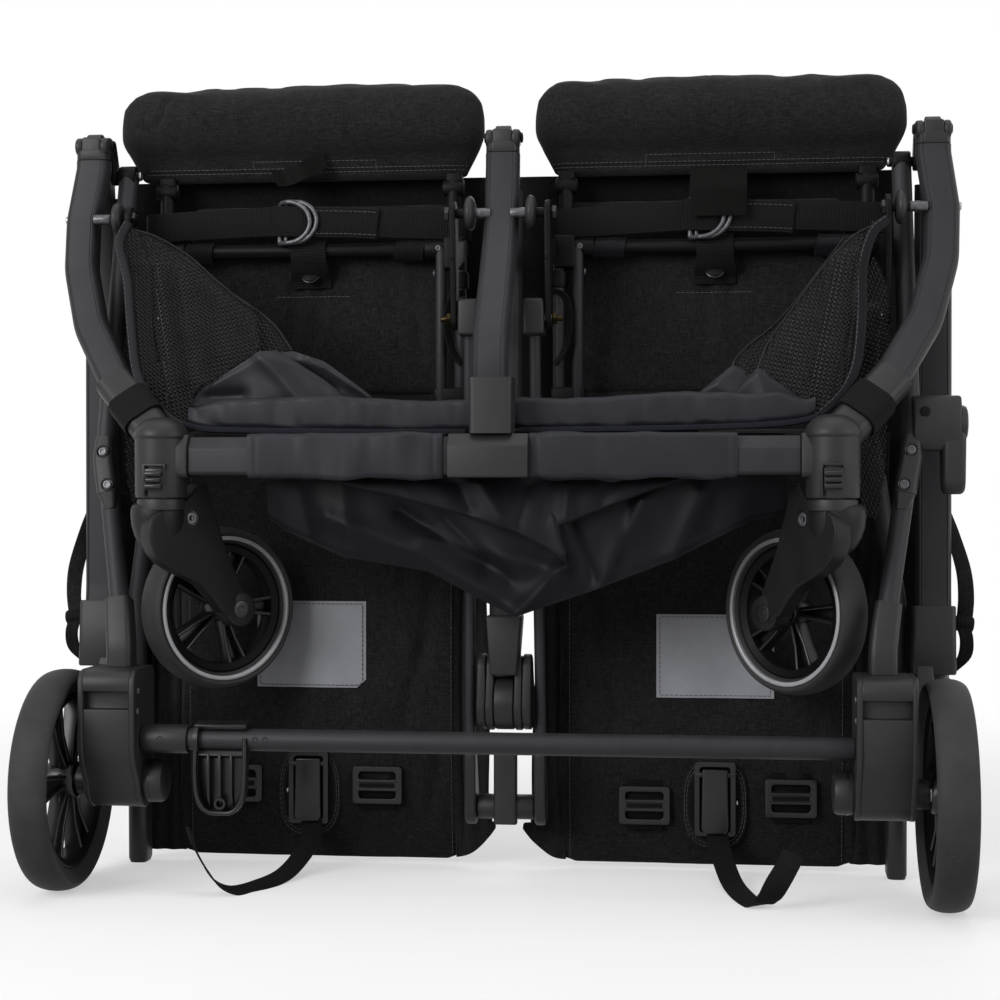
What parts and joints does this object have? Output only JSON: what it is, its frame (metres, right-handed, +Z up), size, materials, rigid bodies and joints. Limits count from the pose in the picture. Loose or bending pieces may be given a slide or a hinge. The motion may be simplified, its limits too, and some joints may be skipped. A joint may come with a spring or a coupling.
{
  "type": "double stroller",
  "caption": "Folded side-by-side twin stroller standing on its rear wheels: tube frames, swivel casters, basket, seats, backrests and canopies.",
  "frame": {"origin": "middle of the bounding box on the floor, folded and standing", "axes": "+Z up; -Y towards the side the wheels are on; +X to the right seen from that side"},
  "size_m": [0.768, 0.2726, 0.668],
  "materials": {
    "coated_tube": "satin powder coat",
    "moulded_plastic": "fine grain",
    "foam_tyre": "smooth matt",
    "heather_cloth": "woven melange",
    "basket_mesh": "open mesh",
    "basket_satin": "smooth polyester",
    "steel": "plain"
  },
  "bodies": {
    "front_frame": {"front_leg_left": "coated_tube", "front_leg_right": "coated_tube", "front_leg_centre": "coated_tube", "hinge_cap_left": "moulded_plastic", "hinge_cap_right": "moulded_plastic", "hinge_cap_centre": "moulded_plastic", "fold_pin_left": "steel", "fold_pin_right": "steel", "fold_pin_centre": "steel", "t_connector": "moulded_plastic", "front_crossbar_left": "coated_tube", "front_crossbar_right": "coated_tube", "caster_housing_left": "moulded_plastic", "caster_housing_right": "moulded_plastic", "basket_wing_left": "basket_mesh", "basket_wing_right": "basket_mesh", "basket_front": "basket_satin"},
    "rear_frame": {"rear_leg_left": "coated_tube", "rear_leg_right": "coated_tube", "rear_bracket_left": "moulded_plastic", "rear_bracket_right": "moulded_plastic", "rear_axle": "coated_tube"},
    "brake": {"brake_pedal": "moulded_plastic"},
    "latch": {"storage_latch": "moulded_plastic"},
    "seat_frame": {"seat_frame_left": "coated_tube", "seat_frame_right": "coated_tube", "seat_cushion_left": "heather_cloth", "seat_cushion_right": "heather_cloth"},
    "back_frame": {"outer_rod_left": "coated_tube", "outer_rod_right": "coated_tube", "inner_rod_left": "coated_tube", "inner_rod_right": "coated_tube", "backrest_left": "heather_cloth", "backrest_right": "heather_cloth", "middle_bar": "moulded_plastic"},
    "handle_frame": {"handle_tube_left": "coated_tube", "handle_tube_right": "coated_tube", "handle_tube_centre": "coated_tube", "side_clip_left": "moulded_plastic", "side_clip_right": "moulded_plastic"},
    "handle": {"handlebar": "coated_tube"},
    "fold_button": {"fold_button": "moulded_plastic"},
    "caster_left": {"caster_fork_left": "moulded_plastic"},
    "front_wheel_left": {"front_tyre_left": "foam_tyre", "front_rim_left": "moulded_plastic"},
    "rear_wheel_left": {"rear_tyre_left": "foam_tyre", "rear_rim_left": "moulded_plastic"},
    "swivel_lock_left": {"swivel_lock_left": "moulded_plastic"},
    "leg_rest_left": {"leg_rest_pad_left": "heather_cloth"},
    "canopy_left": {"canopy_bow_left": "moulded_plastic", "canopy_cloth_left": "heather_cloth"},
    "caster_right": {"caster_fork_right": "moulded_plastic"},
    "front_wheel_right": {"front_tyre_right": "foam_tyre", "front_rim_right": "moulded_plastic"},
    "rear_wheel_right": {"rear_tyre_right": "foam_tyre", "rear_rim_right": "moulded_plastic"},
    "swivel_lock_right": {"swivel_lock_right": "moulded_plastic"},
    "leg_rest_right": {"leg_rest_pad_right": "heather_cloth"},
    "canopy_right": {"canopy_bow_right": "moulded_plastic", "canopy_cloth_right": "heather_cloth"}
  },
  "joints": [
    {"name": "fold", "type": "hinge", "parent": "front_frame", "child": "handle_frame", "pos_m": [0, 0.02725, 0.612], "axis": [1, 0, 0], "range_deg": [0, 142.3]},
    {"name": "rear_fold", "type": "hinge", "parent": "front_frame", "child": "rear_frame", "pos_m": [0, 0.04425, 0.588], "axis": [1, 0, 0], "range_deg": [0, 57.1]},
    {"name": "seat_fold", "type": "hinge", "parent": "front_frame", "child": "seat_frame", "pos_m": [0, 0.00425, 0.546], "axis": [1, 0, 0], "range_deg": [0, 85]},
    {"name": "back_fold", "type": "hinge", "parent": "seat_frame", "child": "back_frame", "pos_m": [0, 0.01225, 0.461], "axis": [1, 0, 0], "range_deg": [0, 61.1]},
    {"name": "handle_fold", "type": "hinge", "parent": "handle_frame", "child": "handle", "pos_m": [0, 0.04325, 0.145], "axis": [1, 0, 0], "range_deg": [-170.6, 0]},
    {"name": "fold_button_press", "type": "slide", "parent": "handle", "child": "fold_button", "axis": [0, 0, -1], "range_m": [0, 0.003], "stiffness_N_per_m": 400},
    {"name": "brake_pedal_tilt", "type": "hinge", "parent": "rear_frame", "child": "brake", "pos_m": [-0.213, -0.05975, 0.124], "axis": [1, 0, 0], "range_deg": [0, 15]},
    {"name": "latch_swing", "type": "hinge", "parent": "rear_frame", "child": "latch", "pos_m": [0.35, -0.00275, 0.374], "axis": [1, 0, 0], "range_deg": [0, 30]},
    {"name": "caster_swivel_left", "type": "hinge", "parent": "front_frame", "child": "caster_left", "pos_m": [-0.262, -0.06625, 0.315], "axis": [0, 0, 1], "range_deg": [-210, 0]},
    {"name": "front_wheel_spin_left", "type": "hinge", "parent": "caster_left", "child": "front_wheel_left", "pos_m": [-0.2369, 0.0133, 0.224], "axis": [0.7071, -0.7071, 0], "continuous": true},
    {"name": "rear_wheel_spin_left", "type": "hinge", "parent": "rear_frame", "child": "rear_wheel_left", "pos_m": [-0.3485, -0.04775, 0.0885], "axis": [-1, 0, 0], "continuous": true},
    {"name": "swivel_lock_press_left", "type": "slide", "parent": "front_frame", "child": "swivel_lock_left", "axis": [0, 0, -1], "range_m": [0, 0.006]},
    {"name": "leg_rest_tilt_left", "type": "hinge", "parent": "seat_frame", "child": "leg_rest_left", "pos_m": [-0.17, 0.07525, 0.578], "axis": [1, 0, 0], "range_deg": [0, 40]},
    {"name": "canopy_tilt_left", "type": "hinge", "parent": "handle_frame", "child": "canopy_left", "pos_m": [-0.184, 0.10425, 0.31], "axis": [1, 0, 0], "range_deg": [0, 110], "deforming": ["canopy_cloth_left"]},
    {"name": "caster_swivel_right", "type": "hinge", "parent": "front_frame", "child": "caster_right", "pos_m": [0.262, -0.06625, 0.315], "axis": [0, 0, 1], "range_deg": [0, 210]},
    {"name": "front_wheel_spin_right", "type": "hinge", "parent": "caster_right", "child": "front_wheel_right", "pos_m": [0.2369, 0.0133, 0.224], "axis": [-0.7071, -0.7071, 0], "continuous": true},
    {"name": "rear_wheel_spin_right", "type": "hinge", "parent": "rear_frame", "child": "rear_wheel_right", "pos_m": [0.3485, -0.04775, 0.0885], "axis": [1, 0, 0], "continuous": true},
    {"name": "swivel_lock_press_right", "type": "slide", "parent": "front_frame", "child": "swivel_lock_right", "axis": [0, 0, -1], "range_m": [0, 0.006]},
    {"name": "leg_rest_tilt_right", "type": "hinge", "parent": "seat_frame", "child": "leg_rest_right", "pos_m": [0.17, 0.07525, 0.578], "axis": [1, 0, 0], "range_deg": [0, 40]},
    {"name": "canopy_tilt_right", "type": "hinge", "parent": "handle_frame", "child": "canopy_right", "pos_m": [0.184, 0.10425, 0.31], "axis": [1, 0, 0], "range_deg": [0, 110], "deforming": ["canopy_cloth_right"]}
  ],
  "couplings": [
    {"joint": "rear_fold", "follows": "fold", "ratio": 0.401},
    {"joint": "seat_fold", "follows": "fold", "ratio": 0.597},
    {"joint": "back_fold", "follows": "fold", "ratio": 0.4287},
    {"joint": "handle_fold", "follows": "fold", "ratio": -1.198}
  ]
}
